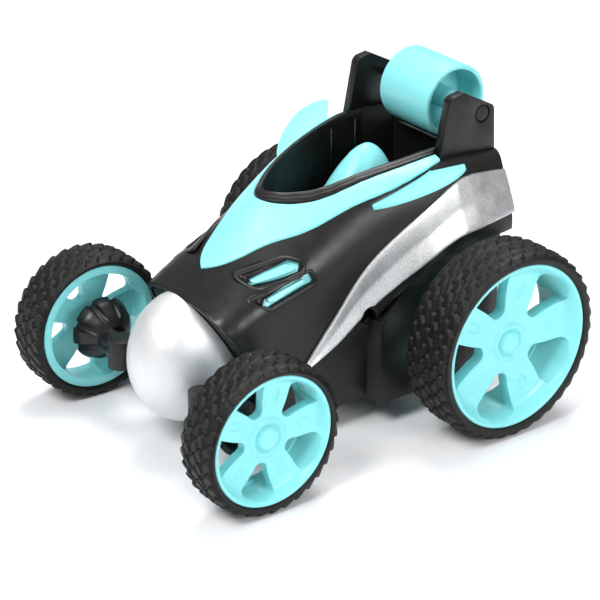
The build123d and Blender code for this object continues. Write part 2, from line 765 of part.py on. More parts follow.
def gear_points(teeth, phase):
    """Outline of an involute spur gear with one tooth centred on phase."""
    pitch_r = pitch * teeth
    alpha = radians(pressure_angle)
    base_r = pitch_r * cos(alpha)
    tip_r = pitch_r + addendum
    root_r = pitch_r - dedendum
    start_r = max(base_r, root_r)
    half = pi / (2 * teeth) - backlash / (2 * pitch_r) + involute(alpha)
    flank = []
    for i in range(6):
        r = start_r + (tip_r - start_r) * i / 5
        flank.append((r, half - involute(acos(min(1.0, base_r / r)))))
    points = []
    for tooth in range(teeth):
        centre = phase + 2 * pi * tooth / teeth
        polar = [(r, centre - a) for r, a in flank] + [(r, centre + a) for r, a in reversed(flank)]
        if root_r < base_r:
            foot = flank[0][1]
            polar = [(root_r, centre - foot)] + polar + [(root_r, centre + foot)]
        points += [(r * cos(a), r * sin(a)) for r, a in polar]
    return points


def meshing_phase(driver_teeth, driver_phase, bearing, teeth):
    """Phase that puts a gap of this gear where the driver has a tooth."""
    offset_in_pitch = driver_teeth * (driver_phase - bearing) / (2 * pi)
    return bearing + pi + 2 * pi / teeth * (0.5 - offset_in_pitch)


def gear_solid(teeth, phase, y, z, x_span, bore_r):
    with BuildPart() as gear:
        with BuildSketch(Plane(origin=(x_span[0], y, z), x_dir=(0, 1, 0), z_dir=(1, 0, 0))):
            with BuildLine():
                Polyline(*gear_points(teeth, phase), close=True)
            make_face()
            Circle(bore_r, mode=Mode.SUBTRACT)
        extrude(amount=x_span[1] - x_span[0])
    return gear.part


def rod(y, z, x0, x1, radius):
    with BuildPart() as bar:
        with BuildSketch(side_plane(x0)):
            with Locations((y, z)):
                Circle(radius)
        extrude(amount=x1 - x0)
    return bar.part


def sleeve(y, z, x0, x1, outer_r, inner_r):
    with BuildPart() as tube:
        with BuildSketch(side_plane(x0)):
            with Locations((y, z)):
                Circle(outer_r)
                Circle(inner_r, mode=Mode.SUBTRACT)
        extrude(amount=x1 - x0)
    return tube.part


small_phase = meshing_phase(output_gear_teeth, 0.0, small_bearing, small_gear_teeth)
pinion_phase = meshing_phase(wheel_gear_teeth, 0.0, pinion_bearing, pinion_teeth)

output_gear = gear_solid(output_gear_teeth, 0.0, rear_axle_y, rear_axle_z, output_x, rear_shaft_r)
save_pair(output_gear, "output_gear")

with BuildPart() as compound_gear:
    add(gear_solid(wheel_gear_teeth, 0.0, compound_y, compound_z, pinion_x, compound_pin_r + running))
    add(gear_solid(small_gear_teeth, small_phase, compound_y, compound_z,
                   (output_x[0], pinion_x[0]), compound_pin_r + running))
save_pair(compound_gear.part, "compound_gear")

motor_pinion = gear_solid(pinion_teeth, pinion_phase, motor_y, motor_z, pinion_x, motor_shaft_r)
save_pair(motor_pinion, "motor_pinion")
save_pair(rod(motor_y, motor_z, 12.0, pinion_x[1], motor_shaft_r), "motor_shaft")
with BuildPart() as compound_pins:
    add(both_sides(rod(compound_y, compound_z, gearbox_x[0], cover_x[1], compound_pin_r)))
save(compound_pins.part, "compound_pins")
save_pair(rod(rear_axle_y, rear_axle_z, 18.0, rear_shaft_end, rear_shaft_r), "rear_axle")

bush_r = 3.5
with BuildPart() as rear_bushes:
    add(both_sides(sleeve(rear_axle_y, rear_axle_z, 21.6, 22.6, bush_r + 1, rear_shaft_r + running)))
    add(both_sides(sleeve(rear_axle_y, rear_axle_z, 22.6, gearbox_x[1], bush_r, rear_shaft_r + running)))
    add(both_sides(sleeve(rear_axle_y, rear_axle_z, cover_x[0], chassis_rear_x + 0.8, bush_r,
                             rear_shaft_r + running)))
save(rear_bushes.part, "rear_bushes")

with BuildPart() as motor:
    with BuildSketch(side_plane(motor_x[0])) as can:
        with Locations((motor_y, motor_z)):
            Circle(motor_r)
            Rectangle(2 * motor_r, 2 * 7.7, mode=Mode.INTERSECT)
    extrude(amount=motor_x[1] - motor_x[0])
    add(rod(motor_y, motor_z, motor_x[1], gearbox_x[1] - 0.2, 3.0))
    add(rod(motor_y, motor_z, 11.5, 40, motor_shaft_r + running), mode=Mode.SUBTRACT)
    # end-bell step and two solder tags
    add(sleeve(motor_y, motor_z, motor_x[0], motor_x[0] + 3.5, 20, motor_r - 0.9), mode=Mode.SUBTRACT)
    for dy in (-4, 4):
        with Locations((motor_x[0] + 1.6, motor_y + dy, motor_z + 7.6)):
            Box(1.0, 2.2, 3.2, align=(Align.CENTER, Align.CENTER, Align.MIN))
save_pair(motor.part, "motor")

lugs = [(34.0, 26.5), (57.0, 25.5), (47.5, 53.4)]
lug_r = 2.8


def gearbox_outline(inset):
    """The gearbox's (y, z) outline round its three shafts, moved in by inset."""
    with BuildSketch() as outline:
        with Locations((rear_axle_y, rear_axle_z)):
            Circle(13.1 - inset)
        with Locations((compound_y, compound_z)):
            Circle(13.2 - inset)
        with Locations((motor_y, motor_z)):
            Circle(5.6 - inset)
        make_hull()
    return outline.sketch


def gearbox_slab(inset, x_span):
    with BuildPart() as slab:
        with BuildSketch(side_plane(x_span[0])):
            add(gearbox_outline(inset))
            if not inset:
                with Locations(*lugs):
                    Circle(lug_r)
        extrude(amount=x_span[1] - x_span[0])
    return slab.part


with BuildPart() as gearbox_housing:
    add(gearbox_slab(0, (gearbox_x[0], cover_x[0] - gap)))
    add(gearbox_slab(1.4, (gearbox_x[1], cover_x[0])), mode=Mode.SUBTRACT)
    with BuildSketch(side_plane(gearbox_x[0] - 1)):
        with Locations((rear_axle_y, rear_axle_z)):
            Circle(bush_r)
        with Locations((motor_y, motor_z)):
            Circle(3.0 + gap)
        with Locations((compound_y, compound_z)):
            Circle(compound_pin_r)
        with Locations(*lugs):
            Circle(screw_r)
    extrude(amount=12, mode=Mode.SUBTRACT)
save_pair(gearbox_housing.part, "gearbox_housing")

with BuildPart() as gearbox_cover:
    add(gearbox_slab(0, cover_x))
    with BuildSketch(side_plane(cover_x[0] - 1)):
        with Locations((rear_axle_y, rear_axle_z)):
            Circle(bush_r)
        with Locations((compound_y, compound_z)):
            Circle(compound_pin_r)
        with Locations(*lugs):
            Circle(screw_r)
    extrude(amount=12, mode=Mode.SUBTRACT)
save_pair(gearbox_cover.part, "gearbox_cover")

# ---- fasteners: identical screws share a node as separate solids ----


def screw_at(x, y, z, direction, length, head_r=screw_head_r, shank_r=screw_r):
    """A pan-head screw whose head seat is at this point, driven along direction."""
    seat = Plane(origin=(x, y, z), z_dir=direction)
    with BuildPart() as screw:
        with BuildSketch(seat):
            Circle(shank_r)
        extrude(amount=length)
        with BuildSketch(seat):
            Circle(head_r - 0.2)
        extrude(amount=-1.4)
        with BuildSketch(seat.offset(-1.4)):
            Rectangle(2.2, 0.5)
            Rectangle(0.5, 2.2)
        extrude(amount=0.7, mode=Mode.SUBTRACT)
    return screw.part


with BuildPart() as body_screws:
    for y, rib_x, meet_z in body_screws_at:
        for side in (-1, 1):
            add(screw_at(side * body_screw_x, y, floor_z + 4, (0, 0, 1), meet_z - floor_z + 3.5))
save(body_screws.part, "body_screws")

with BuildPart() as gearbox_screws:
    for y, z in lugs:
        add(both_sides(screw_at(gearbox_x[0], y, z, (1, 0, 0), 8.6)))
save(gearbox_screws.part, "gearbox_screws")

save(screw_at(0, door_screw_y, floor_z + 1.5, (0, 0, 1), 5.2), "door_screw")

# ---- battery bay, electronics and switch ----
with BuildPart() as battery_door:
    with BuildSketch(Plane.XY.offset(floor_z)):
        with Locations((0, (door_y0 + door_y1) / 2)):
            RectangleRounded(2 * door_x - 0.4, door_y1 - door_y0 - 0.4, 1.8)
        with Locations((0, door_screw_y)):
            Circle(screw_r, mode=Mode.SUBTRACT)
    extrude(amount=door_thick)
    with Locations((0, door_screw_y, floor_z)):
        Cylinder(screw_head_r, 2 * 1.5, mode=Mode.SUBTRACT)
    # finger ribs
    for i in range(5):
        with Locations((0, door_y0 + 5 + 2.2 * i, floor_z)):
            Box(16, 0.9, 1.0, mode=Mode.SUBTRACT)
save(battery_door.part, "battery_door")

cell_pitch = 14.5
with BuildPart() as battery_cells:
    for i in (-1, 0, 1):
        flip = -1 if i == 0 else 1
        y0 = cell_y + (0 if flip > 0 else cell_length)
        with BuildSketch(Plane(origin=(i * cell_pitch, y0, cell_z), z_dir=(0, flip, 0))):
            Circle(cell_r)
        extrude(amount=cell_length - 1.2)
        button_y = y0 + flip * (cell_length - 1.2)
        with BuildSketch(Plane(origin=(i * cell_pitch, button_y, cell_z), z_dir=(0, flip, 0))):
            Circle(2.6)
        extrude(amount=1.2)
save(battery_cells.part, "battery_cells")

with BuildPart() as battery_contacts:
    for y in (chassis_front_y + wall + 0.3, cell_y + cell_length + 0.3):
        end = 1 if y < 0 else -1
        with Locations((-end * cell_pitch, y, cell_z)):
            Box(10.0, 0.5, 9.5)
        with Locations((end * cell_pitch / 2, y, cell_z)):
            Box(24.0, 0.5, 9.5)
save(battery_contacts.part, "battery_contacts")

tray_z = 29.2
board_z = 33.0
board_y = -12.0
with BuildPart() as electronics_tray:
    with BuildSketch(Plane.XY.offset(tray_z)):
        with Locations((0, -9.3)):
            Rectangle(50.4, 52.6)
        for y, rib_x, meet_z in body_screws_at:
            with Locations((body_screw_x, y), (-body_screw_x, y)):
                Circle(post_r + 0.3, mode=Mode.SUBTRACT)
    extrude(amount=1.2)
    with BuildSketch(Plane.XY.offset(tray_z + 1.2)):
        with Locations((0, board_y)):
            with GridLocations(30, 28, 2, 2):
                Circle(1.8)
    extrude(amount=board_z - tray_z - 1.2)
save(electronics_tray.part, "electronics_tray")

with BuildPart() as circuit_board:
    with BuildSketch(Plane.XY.offset(board_z)):
        with Locations((0, board_y)):
            RectangleRounded(36, 34, 1.5)
    extrude(amount=1.4)
    top = board_z + 1.4
    low = (Align.CENTER, Align.CENTER, Align.MIN)
    with Locations((-6, board_y + 4, top)):
        Box(9, 6, 1.8, align=low)
    with Locations((6, board_y + 5, top)):
        Box(6, 5, 1.6, align=low)
    with Locations((9, board_y - 8, top), (-9, board_y - 9, top)):
        Cylinder(2.5, 5.5, align=low)
    with Locations((0, board_y - 8, top)):
        Box(8.5, 3.6, 3.4, align=low)
save(circuit_board.part, "circuit_board")

with BuildPart() as antenna_wire:
    with BuildLine() as run:
        Spline((14, -13, board_z + 2.1), (15, -20, 44), (8, -24, 52),
               (-4, -20, 58), (-8, -10, 62), (-2, 0, 64.5))
    with BuildSketch(Plane(origin=run.line @ 0, z_dir=run.line % 0)):
        Circle(0.6)
    sweep()
save(antenna_wire.part, "antenna_wire")

with BuildPart() as motor_wires:
    for side in (-1, 1):
        for dy in (-4, 4):
            x = side * (motor_x[0] + 1.6)
            with BuildLine() as run:
                Spline((side * 12 + dy / 2, 3.0, board_z + 2.2), (side * 11 + dy / 3, 5.5, 44),
                       (side * 6, 11 + dy / 2, 53), (x, motor_y + dy, 52.4))
            with BuildSketch(Plane(origin=run.line @ 0, z_dir=run.line % 0)):
                Circle(0.55)
            sweep()
save(motor_wires.part, "motor_wires")

switch_body_z = floor_z + wall + gap
slider_travel = 2.0
with BuildPart() as power_switch:
    with Locations((0, switch_y, switch_body_z)):
        Box(12, 6, 5, align=(Align.CENTER, Align.CENTER, Align.MIN))
        Box(7.4, 2.5, 6, mode=Mode.SUBTRACT)
    for x in (-3, 0, 3):
        with Locations((x, switch_y, switch_body_z + 5)):
            Box(0.8, 1.2, 2.6, align=(Align.CENTER, Align.CENTER, Align.MIN))
save(power_switch.part, "power_switch")

with BuildPart() as switch_slider:
    with Locations((-slider_travel / 2, switch_y, floor_z + 1.1)):
        Box(3.4, 2.2, 3.4, align=(Align.CENTER, Align.CENTER, Align.MIN))
save(switch_slider.part, "switch_slider")
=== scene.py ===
from math import cos, floor, pi, radians, sin

import bmesh
import bpy
import numpy as np
from mathutils import Matrix, Vector
from mathutils.bvhtree import BVHTree


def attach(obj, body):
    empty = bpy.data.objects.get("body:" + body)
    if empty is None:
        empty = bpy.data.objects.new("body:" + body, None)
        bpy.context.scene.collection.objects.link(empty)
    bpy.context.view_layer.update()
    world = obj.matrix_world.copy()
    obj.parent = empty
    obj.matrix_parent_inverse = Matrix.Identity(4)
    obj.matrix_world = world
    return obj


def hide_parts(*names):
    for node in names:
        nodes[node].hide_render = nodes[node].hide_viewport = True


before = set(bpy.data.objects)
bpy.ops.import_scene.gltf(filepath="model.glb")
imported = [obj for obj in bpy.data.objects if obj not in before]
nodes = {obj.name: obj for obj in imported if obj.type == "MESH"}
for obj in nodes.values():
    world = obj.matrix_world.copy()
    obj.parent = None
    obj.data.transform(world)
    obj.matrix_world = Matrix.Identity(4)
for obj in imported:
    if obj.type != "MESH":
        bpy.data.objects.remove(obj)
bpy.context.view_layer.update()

MM = 0.001
scene = bpy.context.scene

# wheels, in millimetres: axle position, lip and tyre radius, and the rim's inner and outer X
FRONT = dict(y=-55.0, z=28.0, lip=23.8, tyre=28.0, inner=46.1, outer=61.6)
REAR = dict(y=47.0, z=36.0, lip=30.9, tyre=36.0, inner=48.6, outer=68.4)
SPOKES = 5
FIRST_WINDOW = 41.0
TREAD_DEPTH = 1.55
STEPS_PER_LUG = 14
STEPS_PER_ROW = 7


# ---- materials ----
def shader(name, color, rough, metal=0.0, mottle=0.08, mottle_scale=90.0, rough_vary=0.08,
           grain=0.05, grain_scale=2500.0, coat=0.0, sss=0.0, spec=0.5, flakes=0.0, scratch=0.0):
    """A procedural finish: mottled colour and roughness, grain, and optional flakes and scratches."""
    mat = bpy.data.materials.new(name)
    mat.use_nodes = True
    tree = mat.node_tree
    tree.nodes.clear()
    add, link = tree.nodes.new, tree.links.new
    out = add("ShaderNodeOutputMaterial")
    bsdf = add("ShaderNodeBsdfPrincipled")
    coord = add("ShaderNodeTexCoord")
    link(bsdf.outputs["BSDF"], out.inputs["Surface"])

    def noise(scale, detail=3.0, stretch=None):
        node = add("ShaderNodeTexNoise")
        node.inputs["Scale"].default_value = scale
        node.inputs["Detail"].default_value = detail
        source = coord.outputs["Object"]
        if stretch:
            squeeze = add("ShaderNodeMapping")
            squeeze.inputs["Scale"].default_value = stretch
            link(source, squeeze.inputs["Vector"])
            source = squeeze.outputs["Vector"]
        link(source, node.inputs["Vector"])
        return node.outputs["Fac"]

    def remap(source, low, high, start=0.3, end=0.7):
        node = add("ShaderNodeMapRange")
        for socket, value in (("From Min", start), ("From Max", end), ("To Min", low), ("To Max", high)):
            node.inputs[socket].default_value = value
        link(source, node.inputs["Value"])
        return node.outputs["Result"]

    def shade(factor):
        return tuple(min(1.0, c * factor) for c in color) + (1.0,)

    blend = add("ShaderNodeMix")
    blend.data_type = "RGBA"
    blend.inputs[6].default_value = shade(1 - mottle)
    blend.inputs[7].default_value = shade(1 + mottle)
    link(remap(noise(mottle_scale), 0.0, 1.0), blend.inputs[0])
    colour_out = blend.outputs[2]
    if flakes:
        cell = add("ShaderNodeTexVoronoi")
        cell.inputs["Scale"].default_value = 4200.0
        link(coord.outputs["Object"], cell.inputs["Vector"])
        fleck = add("ShaderNodeMix")
        fleck.data_type = "RGBA"
        fleck.blend_type = "MULTIPLY"
        fleck.inputs[0].default_value = 1.0
        tone = add("ShaderNodeSeparateColor")
        link(cell.outputs["Color"], tone.inputs["Color"])
        grey = add("ShaderNodeCombineColor")
        level = remap(tone.outputs[0], 1 - flakes, 1 + flakes * 0.6, 0.0, 1.0)
        for channel in range(3):
            link(level, grey.inputs[channel])
        link(colour_out, fleck.inputs[6])
        link(grey.outputs["Color"], fleck.inputs[7])
        colour_out = fleck.outputs[2]
    link(colour_out, bsdf.inputs["Base Color"])

    smoothest, roughest = max(0.02, rough - rough_vary), min(1.0, rough + rough_vary)
    rough_out = remap(noise(mottle_scale * 2.3), smoothest, roughest)
    if scratch:
        mark = add("ShaderNodeMath")
        mark.operation = "MULTIPLY_ADD"
        mark.inputs[1].default_value = scratch
        link(noise(260.0, 2.0, stretch=(1.0, 14.0, 14.0)), mark.inputs[0])
        link(rough_out, mark.inputs[2])
        rough_out = mark.outputs["Value"]
    link(rough_out, bsdf.inputs["Roughness"])

    bump = add("ShaderNodeBump")
    bump.inputs["Strength"].default_value = grain
    bump.inputs["Distance"].default_value = 0.0002
    link(noise(grain_scale, 4.0), bump.inputs["Height"])
    link(bump.outputs["Normal"], bsdf.inputs["Normal"])

    bsdf.inputs["Metallic"].default_value = metal
    bsdf.inputs["Specular IOR Level"].default_value = spec
    bsdf.inputs["Coat Weight"].default_value = coat
    bsdf.inputs["Coat Roughness"].default_value = 0.12
    if sss:
        bsdf.inputs["Subsurface Weight"].default_value = sss
        bsdf.inputs["Subsurface Radius"].default_value = (0.4, 1.0, 1.0)
        bsdf.inputs["Subsurface Scale"].default_value = 0.002
    return mat


BLACK = shader("satin_black_plastic", (0.0055, 0.0053, 0.0051), 0.34, rough_vary=0.05,
               grain=0.16, grain_scale=1800, spec=0.36)
BLACK_LIP = shader("lip_black_plastic", (0.004, 0.004, 0.004), 0.32, grain=0.10, grain_scale=1500,
                   spec=0.28)
TEAL = shader("teal_plastic", (0.235, 0.70, 0.715), 0.33, mottle=0.03, mottle_scale=40, grain=0.04,
              sss=0.12)
SILVER = shader("silver_panel_paint", (0.58, 0.585, 0.59), 0.38, metal=0.85, mottle=0.02, flakes=0.30,
                grain=0.30, grain_scale=4200, coat=0.05)
PEARL = shader("pearl_silver_plastic", (0.72, 0.72, 0.725), 0.50, metal=0.6, mottle=0.01, flakes=0.06,
               grain=0.05, coat=0.12)
RUBBER = shader("tyre_rubber", (0.0050, 0.0048, 0.0042), 0.52, mottle=0.18, mottle_scale=160,
                grain=0.45, grain_scale=1300, spec=0.30)
# dark steel for the screws; on the roller pin's head this darkness is also painted shade, standing for the
# shade inside the bracket's screw hole
DARK_STEEL_AND_HOLE_SHADE = shader("dark_steel_and_hole_shade", (0.035, 0.035, 0.037), 0.42, metal=0.9, scratch=0.1, grain=0.05)
STEEL = shader("plain_steel", (0.55, 0.55, 0.57), 0.28, metal=1.0, scratch=0.12, grain=0.05)
BRASS = shader("turned_brass", (0.68, 0.50, 0.22), 0.30, metal=1.0, scratch=0.10, grain=0.04)
NYLON = shader("white_nylon", (0.80, 0.79, 0.74), 0.42, sss=0.15, mottle=0.03, grain=0.05)
BOARD = shader("green_board", (0.02, 0.16, 0.06), 0.38, mottle=0.35, mottle_scale=420, grain=0.12)
WRAP = shader("cell_wrap", (0.03, 0.07, 0.30), 0.25, mottle=0.10, coat=0.4, scratch=0.08)
WIRE = shader("red_wire", (0.42, 0.02, 0.02), 0.38, mottle=0.08, grain=0.05)

# finish by node, without its side; anything else is plain steel
FINISH = {
    "upper_shell": BLACK, "lower_chassis": BLACK, "nose_bulkhead": BLACK, "cockpit_tub": BLACK,
    "cockpit_rim": BLACK_LIP, "battery_door": BLACK, "electronics_tray": BLACK, "switch_slider": BLACK,
    "roller_bracket": BLACK, "front_knuckle": BLACK, "gearbox_housing": BLACK, "gearbox_cover": BLACK,
    "cockpit_dome": TEAL, "hood_trim": TEAL, "roller": TEAL, "winglet": TEAL, "vent_insert": TEAL,
    "front_rim": TEAL, "rear_rim": TEAL, "side_panel": SILVER, "nose_dome": PEARL,
    "front_tyre": RUBBER, "rear_tyre": RUBBER, "motor_pinion": BRASS, "rear_bushes": BRASS,
    "output_gear": NYLON, "compound_gear": NYLON, "circuit_board": BOARD, "battery_cells": WRAP,
    "motor_wires": WIRE, "roller_pin": DARK_STEEL_AND_HOLE_SHADE, "gearbox_screws": DARK_STEEL_AND_HOLE_SHADE, "antenna_wire": WIRE,
}

# width in millimetres of the softened edge on each CAD node
SOFT_EDGE = {
    "upper_shell": 0.35, "lower_chassis": 0.4, "nose_dome": 0.3, "roller_bracket": 0.45,
    "front_rim": 0.3, "rear_rim": 0.35, "roller": 0.3, "winglet": 0.35, "hood_trim": 0.25,
    "cockpit_rim": 0.2, "cockpit_tub": 0.3, "vent_insert": 0.2, "side_panel": 0.2,
    "front_knuckle": 0.25, "nose_bulkhead": 0.2, "battery_door": 0.25, "circuit_board": 0.1,
    "motor": 0.2, "gearbox_housing": 0.2, "gearbox_cover": 0.2, "roller_pin": 0.3,
}


def stem(name):
    """A node's name without its side."""
    for tail in ("_left", "_right"):
        if name.endswith(tail):
            return name[:-len(tail)]
    return name


def soften(obj, width, angle):
    """Round the edges that are sharper than this angle, by this width in millimetres."""
    edge = obj.modifiers.new("edge", "BEVEL")
    edge.width = width * MM
    edge.segments = 2
    edge.limit_method = "ANGLE"
    edge.angle_limit = radians(angle)
    edge.use_clamp_overlap = True


def weld(obj, distance):
    """Join vertices that are closer than this, in metres."""
    obj.modifiers.new("weld", "WELD").merge_threshold = distance


def smooth(mesh):
    mesh.polygons.foreach_set("use_smooth", [True] * len(mesh.polygons))
    mesh.update()


for name, obj in nodes.items():
    obj.data.materials.clear()
    obj.data.materials.append(FINISH.get(stem(name), STEEL))
    weld(obj, 2e-6)
    if stem(name) in SOFT_EDGE:
        soften(obj, SOFT_EDGE[stem(name)], 32.0)
    smooth(obj.data)


# ---- building new pieces, in millimetres ----
def bare(name, verts, faces):
    """A mesh object with nothing on it yet."""
    mesh = bpy.data.meshes.new(name)
    mesh.from_pydata([tuple(c * MM for c in v) for v in verts], [], faces)
    mesh.update()
    obj = bpy.data.objects.new(name, mesh)
    scene.collection.objects.link(obj)
    return obj


def piece(name, verts, faces, mat, body, replaced=()):
    """A new smooth piece that rides on a body and may stand for CAD nodes."""
    obj = bare(name, verts, faces)
    obj.data.materials.append(mat)
    smooth(obj.data)
    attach(obj, body)
    if replaced:
        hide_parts(*replaced)
    return obj


def cutter(name, verts, faces):
    """A closed solid to cut with: its vertices are joined and its faces point outward."""
    obj = bare(name, verts, faces)
    shape = bmesh.new()
    shape.from_mesh(obj.data)
    bmesh.ops.remove_doubles(shape, verts=shape.verts, dist=1e-7)
    bmesh.ops.recalc_face_normals(shape, faces=shape.faces)
    shape.to_mesh(obj.data)
    shape.free()
    return obj


def cut(obj, tools):
    """Take each tool's volume out of a closed mesh, for good, and remove the tools."""
    for tool in tools:
        step = obj.modifiers.new("cut", "BOOLEAN")
        step.operation = "DIFFERENCE"
        step.solver = "EXACT"
        step.object = tool
    bpy.context.view_layer.update()
    graph = bpy.context.evaluated_depsgraph_get()
    made = bpy.data.meshes.new_from_object(obj.evaluated_get(graph))
    obj.modifiers.clear()
    obj.data = made
    for tool in tools:
        bpy.data.objects.remove(tool)
    smooth(made)


def ring_faces(start, rings, count, side, closed):
    """Faces along a run of vertex rings, which closes on itself or is capped at both ends."""
    faces = []
    for i in range(rings if closed else rings - 1):
        a = start + i * count
        b = start + (i + 1) % rings * count
        for j in range(count):
            k = (j + 1) % count
            # the first corner sets the diagonal that a quad splits along
            faces.append((a + j, b + j, b + k, a + k) if closed else (b + j, b + k, a + k, a + j))
    if not closed:
        last = start + (rings - 1) * count
        faces.append(tuple(range(start, start + count)))
        faces.append(tuple(range(last, last + count))[::-1])
    return faces if side > 0 else [face[::-1] for face in faces]


def lathe(profile, y, z, side, steps):
    """A closed profile of (x, radius) points turned about a cross-car axis."""
    verts = []
    for i in range(steps):
        turn = 2 * pi * i / steps
        for x, r in profile:
            reach = max(r, 0.02)
            verts.append((side * x, y + reach * cos(turn), z + reach * sin(turn)))
    return verts, ring_faces(0, steps, len(profile), side, True)


def prism_x(points, x0, x1, y, z):
    """A closed prism along X with this (y, z) outline about a centre."""
    count = len(points)
    verts = [(x0, y + u, z + v) for u, v in points] + [(x1, y + u, z + v) for u, v in points]
    faces = [tuple(range(count - 1, -1, -1)), tuple(range(count, 2 * count))]
    faces += [(i, (i + 1) % count, (i + 1) % count + count, i + count) for i in range(count)]
    return verts, faces


def rounded(points, radius, steps=5):
    """An outline with each corner eased by a curve that starts this far before it."""
    out = []
    for i, corner in enumerate(points):
        here = Vector(corner)
        before, after = Vector(points[i - 1]) - here, Vector(points[(i + 1) % len(points)]) - here
        start = here + before.normalized() * min(radius, before.length * 0.45)
        end = here + after.normalized() * min(radius, after.length * 0.45)
        for s in range(steps + 1):
            t = s / steps
            out.append(tuple(start * (1 - t) ** 2 + here * 2 * t * (1 - t) + end * t ** 2))
    return out


def smoothstep(edge0, edge1, x):
    t = np.clip((x - edge0) / (edge1 - edge0), 0.0, 1.0)
    return t * t * (3 - 2 * t)


def curve(points, s):
    """A Catmull-Rom run through points, at parameter s from 0 to 1."""
    last = len(points) - 1
    place = min(s * last, last - 1e-6)
    i = int(floor(place))
    t = place - i
    near = [points[max(i - 1, 0)], points[i], points[i + 1], points[min(i + 2, last)]]
    return tuple(0.5 * (2 * b + (c - a) * t + (2 * a - 5 * b + 4 * c - d) * t * t
                        + (3 * b - a - 3 * c + d) * t ** 3) for a, b, c, d in zip(*near))


def surface_of(name):
    """A node's surface, ready to be probed."""
    mesh = nodes[name].data
    return BVHTree.FromPolygons([v.co[:] for v in mesh.vertices], [p.vertices[:] for p in mesh.polygons])


def probe(surface, side, y, z):
    """How far out from the middle the surface stands at (y, z) on this side, or None."""
    hit = surface.ray_cast(Vector((side * 0.08, y * MM, z * MM)), Vector((-side, 0, 0)))[0]
    return None if hit is None else side * hit.x / MM


# ---- tyres ----
def tread_height(turn, across, rows, lugs):
    """Lug height from 0 to 1: staggered rows of curved scales, steep on one side, sloping on the other."""
    row = across * rows
    index = np.floor(row)
    inside = row - index - 0.5
    lean = np.where(index % 2 == 0, 1.0, -1.0)
    along = turn / (2 * pi) * lugs + 0.5 * (index % 2)
    along = along + 0.30 * np.cos(inside * pi) + lean * 0.34 * inside
    cell = along - np.floor(along)
    slope = 1 - 0.55 * smoothstep(0.14, 0.95, cell)
    ramp = smoothstep(0.0, 0.14, cell) * slope * (1 - smoothstep(0.93, 1.0, cell))
    groove = smoothstep(0.5, 0.40, np.abs(inside) - 0.04 * np.cos(2 * pi * cell))
    return ramp * (0.35 + 0.65 * groove)


def tyre(name, wheel, side, body, rows, lugs):
    """A hollow-seated tyre with a moulded tread, turned about its axle."""
    x0, x1 = wheel["inner"] - 0.8, wheel["outer"] + 0.6
    bead, top, seat = wheel["lip"] + 0.1, wheel["tyre"], wheel["lip"] - 1.35
    inner_edge, outer_edge = wheel["inner"] + 1.25, wheel["outer"] - 1.25
    wall_in = [(inner_edge, seat), (inner_edge, bead), (x0 + 0.5, bead + 0.15), (x0 + 0.1, bead + 0.5),
               (x0, bead + 1.0), (x0, top - 2.9), (x0 + 0.1, top - 2.4)]
    wall_out = [(x1 - 0.1, top - 2.4), (x1, top - 2.9), (x1, bead + 1.0), (x1 - 0.1, bead + 0.5),
                (x1 - 0.5, bead + 0.15), (outer_edge, bead), (outer_edge, seat)]
    across = np.linspace(0, 1, rows * STEPS_PER_ROW + 1)
    crown = 1 - np.abs(2 * across - 1) ** 5
    tread_x = x0 + 0.15 + (x1 - x0 - 0.3) * across
    base_r = top - TREAD_DEPTH - 1.1 + 1.1 * crown
    turns = np.arange(lugs * STEPS_PER_LUG) * 2 * pi / (lugs * STEPS_PER_LUG)
    height = tread_height(turns[:, None], across[None, :], rows, lugs)
    fade = smoothstep(0.0, 0.03, across) * smoothstep(1.0, 0.97, across)
    radius = base_r[None, :] + TREAD_DEPTH * height * fade[None, :]
    verts = []
    for i, turn in enumerate(turns):
        ring = wall_in + list(zip(tread_x, radius[i])) + wall_out
        verts += [(side * x, wheel["y"] + r * cos(turn), wheel["z"] + r * sin(turn)) for x, r in ring]
    count = len(wall_in) + len(tread_x) + len(wall_out)
    faces = ring_faces(0, len(turns), count, side, True)
    return piece("visual_" + name, verts, faces, RUBBER, body, [name])


# ---- rims ----
def window_cutter(wheel, side, at):
    """The opening between two spokes, centred on this angle."""
    k = wheel["lip"] / FRONT["lip"]
    half = [(9.4 * k, 11.5), (13.5 * k, 14.5), (21.3 * k, 20.5), (21.9 * k, 10)]
    corners = [(r, -a) for r, a in half] + [(22.1 * k, 0)] + half[::-1]
    flat = [(r * cos(at + radians(a)), r * sin(at + radians(a))) for r, a in corners]
    x0, x1 = side * (wheel["inner"] + 2.5), side * (wheel["outer"] + 1.0)
    return cutter("window", *prism_x(rounded(flat, 2.0 * k), x0, x1, wheel["y"], wheel["z"]))


def dimple_cutter(wheel, side, face, at):
    """A flat egg that dents a spoke's face at this angle."""
    k = wheel["lip"] / FRONT["lip"]
    rings, steps = 8, 20
    verts, faces = [], []
    for a in range(rings + 1):
        lat = pi * a / rings
        for b in range(steps):
            lon = 2 * pi * b / steps
            r = 15.2 * k + 2.6 * k * sin(lat) * cos(lon)
            v = 1.6 * k * sin(lat) * sin(lon)
            x = face + 0.12 + 0.55 * cos(lat)
            verts.append((side * x, wheel["y"] + r * cos(at) - v * sin(at),
                          wheel["z"] + r * sin(at) + v * cos(at)))
    for a in range(rings):
        for b in range(steps):
            c = (b + 1) % steps
            faces.append((a * steps + b, a * steps + c, (a + 1) * steps + c, (a + 1) * steps + b))
    return cutter("dimple", verts, faces)


